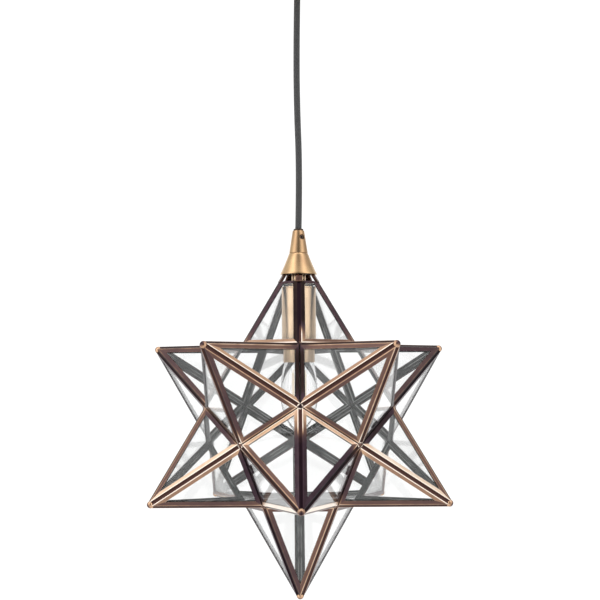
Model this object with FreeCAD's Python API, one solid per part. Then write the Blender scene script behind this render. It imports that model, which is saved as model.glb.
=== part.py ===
import FreeCAD, Part
import math
import os
from FreeCAD import Matrix, Placement, Vector

# Star pendant of leaded glass, hung from a ceiling canopy. Millimetres, +Z up.
# The origin is on the ceiling plane, at the middle of the canopy.

# Star: a regular dodecahedron with a hollow glass spike on each face
star_radius = 160.0
came_width = 5.5
glass_thickness = 2.6
glass_play = 0.1
came_skin = 0.5
came_web = 2.5
glass_end_play = 0.2
crest_width = 4.1
solder_gap = 0.05
bead_depth = 4.0
bead_radius = 4.7

# Top spike, cut short under the cone
disc_below_tip = 21.6
ring_below_tip = 29.0
ring_depth = 4.5
leg_width = 6.4
leg_depth = 2.6

# Door: the rear upper spike
door_gap = 0.35
knuckle_radius = 2.0
knuckle_length = 5.0
knuckle_gap = 0.3
knuckle_count = 5
knuckle_lift = 0.05
leaf_thickness = 0.8
leaf_reach = 3.2
pin_radius = 0.9
pin_play = 0.05
pin_head = 0.8
pin_head_radius = 1.5

# Ceiling canopy
canopy_radius = 50.0
canopy_height = 55.0
canopy_wall = 1.2
canopy_corner = 14.0
bracket_width = 18.0
bracket_thickness = 2.0
bracket_ear = 18.0
bracket_side_play = 0.3
ceiling_hole_spacing = 60.0
ceiling_hole_radius = 2.6
side_screw_radius = 2.0
side_screw_play = 0.1
side_screw_drop = 10.0
side_screw_head_radius = 3.6
side_screw_head = 2.4
side_screw_length = 7.0
side_screw_slot = 0.8
block_length = 30.0
block_width = 16.0
block_height = 14.0
core_entry = 1.7
core_play = 0.15
terminal_pitch = 9.0
terminal_screw_radius = 1.9
terminal_screw_height = 1.2

# Cord and its grip
cord_diameter = 6.0
cord_play = 0.15
core_radius = 0.9
core_spread = 1.7
core_bend_start = 0.3
bend_share = 0.45
grip_collar_radius = 7.0
grip_collar_height = 10.0
grip_lip = 1.35
thread_radius = 5.0
thread_play = 0.05
grip_shank_length = 12.0
nut_radius = 8.5
nut_height = 4.0
upper_tail = 22.0

# Points of the hanging cord, as height above its lower end and sideways lean
cord_points = [(0.0, 0.0), (54.0, 1.3), (117.0, -1.6), (173.0, -1.3), (222.0, 0.0)]

# Cone, nipple and spacers
ferrule_radius = 4.5
ferrule_height = 1.6
upper_cone_top_radius = 5.4
upper_cone_bottom_radius = 8.75
upper_cone_height = 21.0
set_screw_radius = 2.0
set_screw_play = 0.1
set_screw_drop = 6.3
set_screw_length = 2.2
set_screw_angle = -59.0
nipple_engagement = 8.0
nipple_bore = 3.6
lower_cone_height = 19.8
rim_radius = 17.2
cone_wall = 1.2
cone_floor = 1.6
cone_sag = 0.7
disc_thickness = 1.2
disc_rise = 0.2
disc_edge_play = 0.15
spacer_radius = 6.6

# Lamp holder and bulb
neck_radius = 9.0
neck_height = 5.0
flange_thickness = 1.6
sleeve_radius = 15.1
sleeve_wall = 0.8
sleeve_length = 68.0
sleeve_play = 0.1
skirt_depth = 5.0
lock_nut_height = 3.0
lock_nut_radius = 7.5
body_floor = 6.0
body_above_glass = 2.0
contact_room = 4.0
terminal_radius = 1.6
terminal_height = 3.0
terminal_spacing = 12.0
shell_wall = 0.4
shell_play = 0.1
cap_radius = 6.95
cap_length = 22.0
bulb_length = 75.0
bulb_radius = 17.3
bulb_neck_radius = 8.2
bulb_in_sleeve = 10.0
bulb_wall = 0.8
skirt_radius = 8.6
skirt_height = 4.0
skirt_band = 1.0
skirt_play = 0.15
insulator_height = 2.2
insulator_step = 0.6
contact_radius = 2.4
contact_height = 1.6
tongue_thickness = 0.6
tongue_width = 5.0
tongue_inset = 1.45
stem_radius = 2.6
stem_height = 20.0
filament_radius = 0.8
filament_length = 32.0
filament_spread = 6.3
lead_radius = 0.35
lead_rise = 2.5
lead_gap = 0.3

# Candle shape of the glass below its neck, as shares of the widest radius and of the length
bulb_outline_shares = [(0.72, 0.915), (0.88, 0.81), (1.0, 0.59), (0.94, 0.34), (0.57, 0.125), (0.24, 0.02)]

# Heights on the common axis, from the ceiling down
canopy_bottom_z = -canopy_height
grip_bottom_z = canopy_bottom_z - grip_collar_height
cord_bottom_z = grip_bottom_z - cord_points[-1][0]
cone_top_z = cord_bottom_z - ferrule_height
cone_seam_z = cone_top_z - upper_cone_height
rim_z = cone_seam_z - lower_cone_height
disc_bottom_z = rim_z + disc_rise
disc_top_z = disc_bottom_z + disc_thickness
star_z = disc_bottom_z - star_radius + disc_below_tip
ring_top_z = star_z + star_radius - ring_below_tip
neck_bottom_z = ring_top_z - neck_height
sleeve_top_z = neck_bottom_z - flange_thickness
sleeve_bottom_z = sleeve_top_z - sleeve_length
bulb_top_z = sleeve_bottom_z + bulb_in_sleeve
bulb_bottom_z = bulb_top_z - bulb_length
cap_top_z = bulb_top_z + cap_length
barrel_top_z = cap_top_z - contact_height - insulator_height
body_top_z = cap_top_z + contact_room + body_floor
body_bottom_z = bulb_top_z + body_above_glass
nipple_top_z = cone_seam_z + nipple_engagement
nipple_bottom_z = neck_bottom_z - flange_thickness - lock_nut_height

cord_radius = cord_diameter / 2
cord_hole = cord_radius + cord_play
thread_hole = thread_radius + thread_play
nipple_hole = thread_hole

# One spike in its own frame: base pentagon at z = 0, tip on +Z
sides = 5
sector = 360.0 / sides
half_fold = math.degrees(math.acos(-1 / math.sqrt(5))) / 2
spike_ratio = math.sqrt((5 + 2 * math.sqrt(5)) / 5)
depth_ratio = 0.5 * math.sqrt((25 + 11 * math.sqrt(5)) / 10)
edge = star_radius / (spike_ratio + depth_ratio)
spike_height = spike_ratio * edge
face_depth = depth_ratio * edge
base_corner = edge / 2 / math.sin(math.radians(sector / 2))
base_inradius = edge / 2 / math.tan(math.radians(sector / 2))
slant = math.hypot(spike_height, base_inradius)
tip_half_angle = math.atan2(edge / 2, slant)
mitre = (math.pi / 2 - tip_half_angle) / 2
pocket_half = glass_thickness / 2 + glass_play
came_half = pocket_half + came_skin
crest_height = came_half / math.sin(math.radians(half_fold))
crest_cut = crest_width / 2 / math.tan(math.radians(half_fold))
far = 4 * star_radius


def polar(radius, angle, z=0.0):
    turn = math.radians(angle)
    return Vector(radius * math.cos(turn), radius * math.sin(turn), z)


def prism(points, height):
    wire = Part.makePolygon(points + [points[0]])
    return Part.Face(wire).extrude(height)


def regular_prism(corner_radius, count, z, height):
    points = [polar(corner_radius, 360.0 * k / count, z) for k in range(count)]
    return prism(points, Vector(0, 0, height))


def turned(profile):
    """A solid of revolution about Z from (radius, height) points."""
    points = [Vector(r, 0, z) for r, z in profile]
    face = Part.Face(Part.makePolygon(points + [points[0]]))
    return face.revolve(Vector(0, 0, 0), Vector(0, 0, 1), 360)


def tube(outer, inner, z, height):
    outside = Part.makeCylinder(outer, height, Vector(0, 0, z))
    return outside.cut(Part.makeCylinder(inner, height, Vector(0, 0, z)))


def disc(radius, z, height):
    return Part.makeCylinder(radius, height, Vector(0, 0, z))


def rod(start, end, radius):
    return Part.makeCylinder(radius, (end - start).Length, start, end - start)


def save(node, shapes):
    """Write one sub-part; a list of shapes stays as separate solids."""
    solids = [solid for shape in shapes for solid in shape.Solids]
    shape = solids[0] if len(solids) == 1 else Part.makeCompound(solids)
    shape.exportStep("parts/" + node + ".step")
    print(node, len(solids), round(sum(solid.Volume for solid in solids), 1), shape.isValid())


# Panes and cames of one spike

def pane_frame():
    """Turns pane drawings (across, down the pane, inward) into the spike's frame, for pane 0."""
    middle = sector / 2
    across = polar(1, middle + 90)
    down = (polar(base_inradius, middle) - Vector(0, 0, spike_height)).normalize()
    inward = across.cross(down)
    return Matrix(across.x, down.x, inward.x, 0,
                  across.y, down.y, inward.y, 0,
                  across.z, down.z, inward.z, spike_height,
                  0, 0, 0, 1)


def pane_prism(points, half_thickness):
    """A flat plate in pane 0, from drawing points (across, down), both sides of the pane's middle."""
    drawn = [Vector(x, y, -half_thickness) for x, y in points]
    solid = prism(drawn, Vector(0, 0, 2 * half_thickness))
    solid.Placement = Placement(pane_frame())
    return solid


def inset_triangle(inset):
    """The pane's triangle with every side moved in by the same distance."""
    top = inset / math.sin(tip_half_angle)
    bottom = slant - inset
    reach = (bottom - top) * math.tan(tip_half_angle)
    return [(0, top), (reach, bottom), (-reach, bottom)]


def spike_space(gap):
    """All the room that belongs to one spike: a pyramid from the star's centre, less the gap."""
    apex_rise = gap / math.sin(math.atan2(base_inradius, face_depth))
    apex = Vector(0, 0, apex_rise - face_depth)
    rim = [polar(base_corner * far / face_depth, sector * k, apex.z + far) for k in range(sides)]
    faces = [Part.Face(Part.makePolygon([apex, rim[k - 1], rim[k], apex])) for k in range(sides)]
    faces.append(Part.Face(Part.makePolygon(rim + [rim[0]])))
    return Part.Solid(Part.Shell(faces))


def sector_wedge(start, end):
    """The wedge of space round the spike's axis between two angles."""
    points = [Vector(0, 0, -far), polar(far, start, -far), polar(far, end, -far)]
    return prism(points, Vector(0, 0, 2 * far))


def half_ridge():
    """Half of the came along the spike's ridge 1, on the side of pane 0."""
    inner_top = (0, came_width / math.sin(tip_half_angle))
    inner_bottom = (edge / 2 - came_width / math.tan(mitre), slant - came_width)
    spread = 2 * came_half
    outer_bottom = (edge / 2 + spread, slant + spread * math.tan(mitre))
    outer_top = (0, -spread / math.sin(tip_half_angle))
    strip = pane_prism([inner_top, inner_bottom, outer_bottom, outer_top], came_half)
    return strip.cut(pane_prism(inset_triangle(came_web), pocket_half))


def crest_space():
    """The room under the flattened crest of ridge 1."""
    angle = sector
    corner = polar(base_corner, angle)
    tip = Vector(0, 0, spike_height)
    along = (tip - corner).normalize()
    across = polar(1, angle + 90)
    outward = along.cross(across)
    if outward.dot(corner) < 0:
        outward = outward * -1
    level = tip + outward * (crest_height - crest_cut)
    points = [level + along * far + across * far, level + along * far - across * far,
              level - along * far - across * far, level - along * far + across * far]
    return prism(points, outward * (-2 * far))


def ridge_came(gap, top):
    half = half_ridge().common(sector_wedge(0, sector))
    other = half.mirror(Vector(0, 0, 0), polar(1, sector + 90))
    came = half.fuse(other).removeSplitter()
    came = came.common(crest_space()).common(spike_space(gap))
    return came.common(disc(far, -far, far + top))


def base_came(gap):
    inner = edge / 2 - came_width / math.tan(mitre)
    spread = 2 * came_half
    outer = edge / 2 + spread
    lower = slant + spread * math.tan(mitre)
    strip = pane_prism([(-inner, slant - came_width), (inner, slant - came_width),
                        (outer, lower), (-outer, lower)], came_half)
    came = strip.cut(pane_prism(inset_triangle(came_web), pocket_half))
    return came.common(spike_space(gap)).common(sector_wedge(0, sector))


def pane():
    return pane_prism(inset_triangle(came_web + glass_end_play), glass_thickness / 2)


def around(shape):
    """Five copies of a shape round the spike's axis."""
    copies = []
    for k in range(sides):
        copy = shape.copy()
        copy.rotate(Vector(0, 0, 0), Vector(0, 0, 1), sector * k)
        copies.append(copy)
    return copies


def tip_bead():
    """The rounded solder bead that closes the tip of a spike."""
    cut = spike_height - bead_depth
    centre = spike_height - bead_radius
    ball = Part.makeSphere(bead_radius, Vector(0, 0, centre))
    return ball.common(disc(far, cut, far))


# Top spike: the cames end in a ring, and five bare legs go on to the disc

def top_ring_strip():
    """The came along the cut top edge of pane 0."""
    lean = math.cos(math.atan2(base_inradius, spike_height))
    upper = ring_below_tip / lean
    lower = upper + ring_depth
    side = came_width / math.cos(tip_half_angle)
    top_reach = upper * math.tan(tip_half_angle) - side
    bottom_reach = lower * math.tan(tip_half_angle) - side
    strip = pane_prism([(-top_reach, upper), (top_reach, upper), (bottom_reach, lower),
                        (-bottom_reach, lower)], came_half)
    strip = strip.common(disc(far, -far, far + spike_height - ring_below_tip))
    return strip.cut(top_pane_room(came_web, pocket_half))


def top_pane_room(inset, half_thickness):
    """The glass or its pocket in a pane of the top spike."""
    lean = math.cos(math.atan2(base_inradius, spike_height))
    level = ring_below_tip / lean + inset
    tri = inset_triangle(inset)
    reach = (level - tri[0][1]) * math.tan(tip_half_angle)
    return pane_prism([(-reach, level), (reach, level), tri[1], tri[2]], half_thickness)


def top_leg():
    """A bare flat strap along ridge 0, from the ring to the disc."""
    low = spike_height - ring_below_tip
    high = spike_height - disc_below_tip
    slab = disc(far, low, high - low)
    ridge_length = math.hypot(base_corner, spike_height)
    lean = math.degrees(math.atan2(base_corner, spike_height))
    strap = Part.makeBox(leg_depth, leg_width, ridge_length, Vector(-leg_depth / 2, -leg_width / 2, 0))
    strap.rotate(Vector(0, 0, 0), Vector(0, 1, 0), -lean)
    strap.translate(Vector(base_corner, 0, 0))
    return strap.common(slab)


# The twelve spikes

def star_directions():
    """Unit directions of the twelve tips; azimuth 0 faces the viewer, on -Y."""
    height = 1 / math.sqrt(sides)
    tips = {"top": Vector(0, 0, 1), "bottom": Vector(0, 0, -1)}
    for k in range(sides):
        tips["upper", k] = polar(2 * height, 36 + sector * k - 90, height)
        tips["lower", k] = polar(2 * height, sector * k - 90, -height)
    return tips


def spike_matrix(tips, spike, neighbours):
    """Places a spike on the star with its ridge 0 at the corner shared with two neighbours."""
    axis = tips[spike]
    corner = tips[neighbours[0]] + tips[neighbours[1]] + axis
    forward = (corner - axis * corner.dot(axis)).normalize()
    side = axis.cross(forward)
    base = axis * face_depth + Vector(0, 0, star_z)
    return Matrix(forward.x, side.x, axis.x, base.x,
                  forward.y, side.y, axis.y, base.y,
                  forward.z, side.z, axis.z, base.z,
                  0, 0, 0, 1)


def placed(shapes, matrix):
    moved = []
    for shape in shapes:
        copy = shape.copy()
        copy.Placement = Placement(matrix).multiply(shape.Placement)
        moved.append(copy)
    return moved


def spike_list():
    """Node name, spike and the two neighbours that fix its ridge 0."""
    spikes = []
    upper = {0: "front_right_upper", 1: "right_upper", 3: "left_upper", 4: "front_left_upper"}
    lower = {0: "front_lower", 1: "right_lower", 2: "rear_right_lower", 3: "rear_left_lower",
             4: "left_lower"}
    for k, name in upper.items():
        spikes.append((name, ("upper", k), (("lower", k), ("lower", (k + 1) % sides))))
    for k, name in lower.items():
        spikes.append((name, ("lower", k), (("upper", k), ("upper", (k - 1) % sides))))
    spikes.append(("bottom", "bottom", (("lower", 0), ("lower", 1))))
    return spikes


def build_star():
    tips = star_directions()
    cut = spike_height - bead_depth
    frame = around(ridge_came(solder_gap, cut)) + around(base_came(solder_gap))
    panes = around(pane())
    bead = tip_bead()
    beads = []
    for name, spike, neighbours in spike_list():
        matrix = spike_matrix(tips, spike, neighbours)
        save(name + "_frame", placed(frame, matrix))
        save(name + "_panes", placed(panes, matrix))
        beads += placed([bead], matrix)
    save("tip_beads", beads)
    build_top_spike(tips)
    build_door(tips)


def build_top_spike(tips):
    matrix = spike_matrix(tips, "top", (("upper", 4), ("upper", 0)))
    ring_level = spike_height - ring_below_tip
    cames = around(ridge_came(solder_gap, ring_level)) + around(base_came(solder_gap))
    glass = top_pane_room(came_web + glass_end_play, glass_thickness / 2)
    save("top_frame", placed(cames + around(top_ring_strip()), matrix))
    save("top_panes", placed(around(glass), matrix))
    save("top_legs", placed(around(top_leg()), matrix))


# Door

def hinge_axis():
    """Middle of the hinge in the door's frame, above the valley of the edge opposite ridge 0."""
    outward = Vector(-base_inradius, 0, face_depth).normalize()
    stand_off = (knuckle_radius + knuckle_lift) / math.sin(math.radians(half_fold))
    return Vector(-base_inradius, 0, 0) + outward * (crest_height + stand_off)


def knuckle_row(first, inward):
    """Every second knuckle with its leaf; inward is the side of the valley that the leaf lies on."""
    centre = hinge_axis()
    outward = Vector(-base_inradius, 0, face_depth).normalize()
    across = Vector(outward.z, 0, -outward.x) * inward
    lean = math.radians(half_fold)
    along = outward * math.cos(lean) + across * math.sin(lean)
    normal = outward * math.sin(lean) - across * math.cos(lean)
    foot = centre - normal * knuckle_radius
    pitch = knuckle_length + knuckle_gap
    start = -(knuckle_count * pitch - knuckle_gap) / 2
    knuckles = []
    for k in range(first, knuckle_count, 2):
        y = start + k * pitch
        low = Vector(centre.x, y, centre.z)
        barrel = Part.makeCylinder(knuckle_radius, knuckle_length, low, Vector(0, 1, 0))
        corners = [foot, foot + along * (knuckle_radius + leaf_reach)]
        corners += [corners[1] + normal * leaf_thickness, foot + normal * leaf_thickness]
        leaf = prism([Vector(c.x, y, c.z) for c in corners], Vector(0, knuckle_length, 0))
        bore = Part.makeCylinder(pin_radius + pin_play, knuckle_length, low, Vector(0, 1, 0))
        knuckles.append(barrel.fuse(leaf).removeSplitter().cut(bore))
    return knuckles


def hinge_pin():
    centre = hinge_axis()
    length = knuckle_count * (knuckle_length + knuckle_gap) + knuckle_gap
    low = Vector(centre.x, -length / 2, centre.z)
    high = Vector(centre.x, length / 2, centre.z)
    along = Vector(0, 1, 0)
    pin = Part.makeCylinder(pin_radius, length, low, along)
    pin = pin.fuse(Part.makeCylinder(pin_head_radius, pin_head, low - along * pin_head, along))
    return pin.fuse(Part.makeCylinder(pin_head_radius, pin_head, high, along)).removeSplitter()


def build_door(tips):
    matrix = spike_matrix(tips, ("upper", 2), (("lower", 2), ("lower", 3)))
    cut = spike_height - bead_depth
    frame = around(ridge_came(door_gap, cut)) + around(base_came(door_gap))
    save("door_frame", placed(frame + [tip_bead()], matrix))
    save("door_panes", placed(around(pane()), matrix))
    save("hinge_frame_knuckles", placed(knuckle_row(0, -1), matrix))
    save("hinge_door_knuckles", placed(knuckle_row(1, 1), matrix))
    save("hinge_pin", placed([hinge_pin()], matrix))
    print("hinge point", matrix.multVec(hinge_axis()))


# Ceiling canopy

def canopy_cup():
    inner = canopy_radius - canopy_wall
    floor = canopy_bottom_z + canopy_wall
    outer = disc(canopy_radius, canopy_bottom_z, canopy_height)
    outer = outer.makeFillet(canopy_corner, [e for e in outer.Edges if on_level(e, canopy_bottom_z)])
    hollow = disc(inner, floor, canopy_height)
    hollow = hollow.makeFillet(canopy_corner - canopy_wall, [e for e in hollow.Edges if on_level(e, floor)])
    cup = outer.cut(hollow).cut(disc(thread_hole, canopy_bottom_z, canopy_wall))
    for side in (-1, 1):
        start = Vector(side * (inner - canopy_wall), 0, -side_screw_drop)
        end = Vector(side * (canopy_radius + canopy_wall), 0, -side_screw_drop)
        cup = cup.cut(rod(start, end, side_screw_radius + side_screw_play))
    return cup


def on_level(edge_shape, z):
    box = edge_shape.BoundBox
    return abs(box.ZMin - z) < 1e-6 and abs(box.ZMax - z) < 1e-6


def ceiling_bracket():
    """A steel strap under the ceiling, with an ear turned down at each end."""
    reach = canopy_radius - canopy_wall - bracket_side_play
    half = bracket_width / 2
    corner = math.sqrt(reach ** 2 - half ** 2)
    strap = Part.makeBox(2 * corner, bracket_width, bracket_thickness,
                         Vector(-corner, -half, -bracket_thickness))
    for side in (-1, 1):
        x = corner - bracket_thickness if side > 0 else -corner
        ear = Part.makeBox(bracket_thickness, bracket_width, bracket_ear, Vector(x, -half, -bracket_ear))
        hole = rod(Vector(0, 0, -side_screw_drop), Vector(side * canopy_radius, 0, -side_screw_drop),
                   side_screw_radius + side_screw_play)
        strap = strap.fuse(ear).cut(hole)
        screw_x = side * ceiling_hole_spacing / 2
        strap = strap.cut(Part.makeCylinder(ceiling_hole_radius, bracket_thickness,
                                            Vector(screw_x, 0, -bracket_thickness)))
    return strap.removeSplitter()


def canopy_screws():
    """The two screws that hold the cup on the bracket's ears."""
    screws = []
    for side in (-1, 1):
        seat = Vector(side * canopy_radius, 0, -side_screw_drop)
        inside = Vector(side * (canopy_radius - side_screw_length), 0, -side_screw_drop)
        outside = Vector(side * (canopy_radius + side_screw_head), 0, -side_screw_drop)
        head = rod(seat, outside, side_screw_head_radius)
        slot = Part.makeBox(side_screw_head, 2 * side_screw_head_radius, side_screw_slot)
        slot.translate(Vector(outside.x - side_screw_head / 2, -side_screw_head_radius,
                              -side_screw_drop - side_screw_slot / 2))
        screws.append(rod(inside, seat, side_screw_radius).fuse(head).removeSplitter().cut(slot))
    return screws


def terminal_block():
    low = -bracket_thickness - block_height
    block = Part.makeBox(block_length, block_width, block_height,
                         Vector(-block_length / 2, -block_width / 2, low))
    screws = []
    for k in (-1, 0, 1):
        hole = Part.makeCylinder(core_radius + core_play, block_height / 2,
                                 Vector(k * terminal_pitch, 0, low))
        block = block.cut(hole)
        seat = Vector(k * terminal_pitch, -block_width / 2, low + block_height / 2)
        screws.append(rod(seat, seat - Vector(0, terminal_screw_height, 0), terminal_screw_radius))
    return [block] + screws


def cord_grip():
    collar = disc(grip_collar_radius, grip_bottom_z, grip_collar_height)
    lower_edge = [e for e in collar.Edges if on_level(e, grip_bottom_z)]
    collar = collar.makeFillet(grip_collar_radius - cord_hole - grip_lip, lower_edge)
    shank = disc(thread_radius, canopy_bottom_z, grip_shank_length)
    bore = disc(cord_hole, grip_bottom_z, grip_collar_height + grip_shank_length)
    return collar.fuse(shank).removeSplitter().cut(bore)


def hex_nut(corner_radius, hole, z, height):
    return regular_prism(corner_radius, 6, z, height).cut(disc(hole, z, height))


def build_canopy():
    save("canopy_cup", [canopy_cup()])
    save("ceiling_bracket", [ceiling_bracket()])
    save("canopy_screws", canopy_screws())
    save("terminal_block", terminal_block())
    save("cord_grip", [cord_grip()])
    save("grip_nut", [hex_nut(nut_radius, thread_hole, canopy_bottom_z + canopy_wall, nut_height)])
    save("cord_upper_tail", upper_tail_parts())


# Cord

def swept_tube(points, radius):
    """A tube along straight runs joined by tangent arcs; prints its bend radii."""
    edges = []
    radii = []
    start = points[0]
    length = 0.0
    for k in range(1, len(points) - 1):
        before = points[k] - points[k - 1]
        after = points[k + 1] - points[k]
        turn = before.getAngle(after)
        shorter = min(before.Length, after.Length)
        tangent = bend_share * shorter
        bend = tangent / math.tan(turn / 2)
        enter = points[k] - before.normalize() * tangent
        leave = points[k] + after.normalize() * tangent
        towards = ((enter + leave) / 2 - points[k]).normalize()
        middle = points[k] + towards * bend * (1 / math.cos(turn / 2) - 1)
        edges.append(Part.LineSegment(start, enter).toShape())
        edges.append(Part.Arc(enter, middle, leave).toShape())
        length += (enter - start).Length + bend * turn
        radii.append(round(bend, 1))
        start = leave
    edges.append(Part.LineSegment(start, points[-1]).toShape())
    length += (points[-1] - start).Length
    direction = points[1] - points[0]
    section = Part.Wire(Part.Circle(points[0], direction, radius).toShape())
    solid = Part.Wire(edges).makePipeShell([section], True, False)
    expected = math.pi * radius ** 2 * length
    print("tube radii", radii, "length", round(length, 2), "volume ratio", round(solid.Volume / expected, 5))
    return solid


def suspension_cord():
    route = [Vector(lean, 0, cord_bottom_z + height) for height, lean in cord_points]
    return swept_tube(route, cord_radius)


def upper_tail_parts():
    """The cord's end through the grip, and its three cores up to the terminal block."""
    top = grip_bottom_z + upper_tail
    block_low = -bracket_thickness - block_height
    parts = [disc(cord_radius, grip_bottom_z, upper_tail)]
    rise = block_low - top
    for k in (-1, 0, 1):
        x = k * terminal_pitch
        if k == 0:
            parts.append(disc(core_radius, top, rise + core_entry))
            continue
        near = k * (2 * core_radius + core_play)
        route = [Vector(near, 0, top), Vector(near, 0, top + rise * core_bend_start),
                 Vector(x, 0, block_low - rise * core_bend_start), Vector(x, 0, block_low + core_entry)]
        parts.append(swept_tube(route, core_radius))
    return parts


def lower_tail_parts():
    """The cord's end through the cone and nipple, and two cores to the holder's terminals."""
    bottom = nipple_bottom_z
    parts = [disc(cord_radius, bottom, cord_bottom_z - bottom)]
    target = body_top_z + terminal_height
    drop = bottom - target
    for side in (-1, 1):
        x = side * terminal_spacing / 2
        near = side * core_spread
        route = [Vector(near, 0, bottom), Vector(near, 0, bottom - drop * core_bend_start),
                 Vector(x, 0, target + drop * core_bend_start), Vector(x, 0, target)]
        parts.append(swept_tube(route, core_radius))
    return parts


# Cone, nipple, disc and spacers

def upper_cone():
    cone = turned([(cord_hole, cone_top_z), (upper_cone_top_radius, cone_top_z),
                   (upper_cone_bottom_radius, cone_seam_z), (nipple_hole, cone_seam_z),
                   (nipple_hole, nipple_top_z), (cord_hole, nipple_top_z)])
    return cone.cut(set_screw_path(set_screw_radius + set_screw_play))


def set_screw_path(radius):
    z = cone_top_z - set_screw_drop
    return rod(polar(cord_radius, set_screw_angle, z),
               polar(2 * upper_cone_bottom_radius, set_screw_angle, z), radius)


def set_screw():
    """A headless screw that pinches the cord from the side."""
    z = cone_top_z - set_screw_drop
    inner = cord_radius + cord_play
    screw = rod(polar(inner, set_screw_angle, z), polar(inner + set_screw_length, set_screw_angle, z),
                set_screw_radius)
    socket = rod(polar(inner + set_screw_length / 2, set_screw_angle, z),
                 polar(inner + set_screw_length, set_screw_angle, z), set_screw_radius / 2)
    return screw.cut(socket)


def cone_outline(shrink):
    """Points down the flared side, slightly hollow, moved in by the wall."""
    middle_r = (upper_cone_bottom_radius + rim_radius) / 2 - cone_sag
    middle_z = (cone_seam_z + rim_z) / 2
    return [Vector(upper_cone_bottom_radius - shrink, 0, cone_seam_z),
            Vector(middle_r - shrink, 0, middle_z), Vector(rim_radius - shrink, 0, rim_z)]


def flared_solid(shrink):
    side = cone_outline(shrink)
    arc = Part.Arc(side[0], side[1], side[2]).toShape()
    low = Vector(0, 0, rim_z)
    high = Vector(0, 0, cone_seam_z)
    lines = [Part.LineSegment(side[2], low).toShape(), Part.LineSegment(low, high).toShape(),
             Part.LineSegment(high, side[0]).toShape()]
    face = Part.Face(Part.Wire([arc] + lines))
    return face.revolve(Vector(0, 0, 0), Vector(0, 0, 1), 360)


def lower_cone():
    room = flared_solid(cone_wall).common(disc(far, -far, far + cone_seam_z - cone_floor))
    return flared_solid(0).cut(room).cut(disc(nipple_hole, rim_z, lower_cone_height))


def star_disc():
    """The round plate under the cone that the star's five legs are soldered to."""
    blank = disc(rim_radius, disc_bottom_z, disc_thickness)
    blank = blank.common(flared_solid(cone_wall + disc_edge_play))
    return blank.cut(disc(nipple_hole, disc_bottom_z, disc_thickness))


def build_suspension():
    save("suspension_cord", [suspension_cord()])
    save("cord_lower_tail", lower_tail_parts())
    save("cord_ferrule", [tube(ferrule_radius, cord_hole, cone_top_z, ferrule_height)])
    save("upper_cone", [upper_cone()])
    save("cone_set_screw", [set_screw()])
    save("lower_cone", [lower_cone()])
    save("star_disc", [star_disc()])
    nipple_length = nipple_top_z - nipple_bottom_z
    save("threaded_nipple", [tube(thread_radius, nipple_bore, nipple_bottom_z, nipple_length)])
    upper = tube(spacer_radius, nipple_hole, disc_top_z, cone_seam_z - cone_floor - disc_top_z)
    lower = tube(spacer_radius, nipple_hole, ring_top_z, disc_bottom_z - ring_top_z)
    save("spacer_tubes", [upper, lower])


# Lamp holder

def holder_cap():
    skirt = sleeve_radius - sleeve_wall - sleeve_play
    profile = [(nipple_hole, ring_top_z), (neck_radius, ring_top_z), (neck_radius, neck_bottom_z),
               (sleeve_radius, neck_bottom_z), (sleeve_radius, sleeve_top_z), (skirt, sleeve_top_z),
               (skirt, sleeve_top_z - skirt_depth), (skirt - sleeve_wall, sleeve_top_z - skirt_depth),
               (skirt - sleeve_wall, sleeve_top_z), (nipple_hole, sleeve_top_z)]
    return turned(profile)


def holder_body():
    """The insulating block that holds the screw shell, open downwards."""
    outer = sleeve_radius - sleeve_wall - sleeve_play
    room = cap_radius + shell_play + shell_wall + shell_play
    body = disc(outer, body_bottom_z, body_top_z - body_bottom_z)
    body = body.cut(disc(room, body_bottom_z, body_top_z - body_floor - body_bottom_z))
    mouth = skirt_radius + skirt_play
    return body.cut(disc(mouth, body_bottom_z, bulb_top_z + skirt_height + shell_play - body_bottom_z))


def holder_shell():
    low = bulb_top_z + skirt_height + shell_play
    return tube(cap_radius + shell_play + shell_wall, cap_radius + shell_play, low,
                body_top_z - body_floor - low)


def holder_contact():
    """The springy tongue that meets the bulb's end contact, bent up to the body's floor."""
    low = cap_top_z + shell_play
    reach = cap_radius - tongue_inset
    blade = Part.makeBox(2 * reach, tongue_width, tongue_thickness, Vector(-reach, -tongue_width / 2, low))
    root = Part.makeBox(tongue_thickness, tongue_width, body_top_z - body_floor - low,
                        Vector(reach - tongue_thickness, -tongue_width / 2, low))
    return blade.fuse(root).removeSplitter()


def holder_terminals():
    return [Part.makeCylinder(terminal_radius, terminal_height,
                              Vector(side * terminal_spacing / 2, 0, body_top_z)) for side in (-1, 1)]


def build_holder():
    save("holder_cap", [holder_cap()])
    save("holder_lock_nut", [hex_nut(lock_nut_radius, nipple_hole, nipple_bottom_z, lock_nut_height)])
    save("holder_sleeve", [tube(sleeve_radius, sleeve_radius - sleeve_wall, sleeve_bottom_z, sleeve_length)])
    save("holder_body", [holder_body()])
    save("holder_shell", [holder_shell()])
    save("holder_contact", [holder_contact()])
    save("holder_terminals", holder_terminals())


# Bulb

def bulb_profile(shrink):
    """The half outline of the glass from neck to tip, moved in by the wall."""
    points = [Vector(bulb_neck_radius - shrink, 0, bulb_top_z)]
    for width, height in bulb_outline_shares:
        points.append(Vector(bulb_radius * width - shrink, 0, bulb_bottom_z + bulb_length * height))
    end = Vector(0, 0, bulb_bottom_z + shrink)
    curve = Part.BSplineCurve()
    curve.interpolate(points + [end], False)
    return curve, points[0], end


def bulb_solid(shrink):
    curve, start, end = bulb_profile(shrink)
    axis_top = Vector(0, 0, start.z)
    lines = [Part.LineSegment(end, axis_top).toShape(), Part.LineSegment(axis_top, start).toShape()]
    face = Part.Face(Part.Wire([curve.toShape()] + lines))
    return face.revolve(Vector(0, 0, 0), Vector(0, 0, 1), 360)


def bulb_glass():
    return bulb_solid(0).cut(bulb_solid(bulb_wall))


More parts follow.
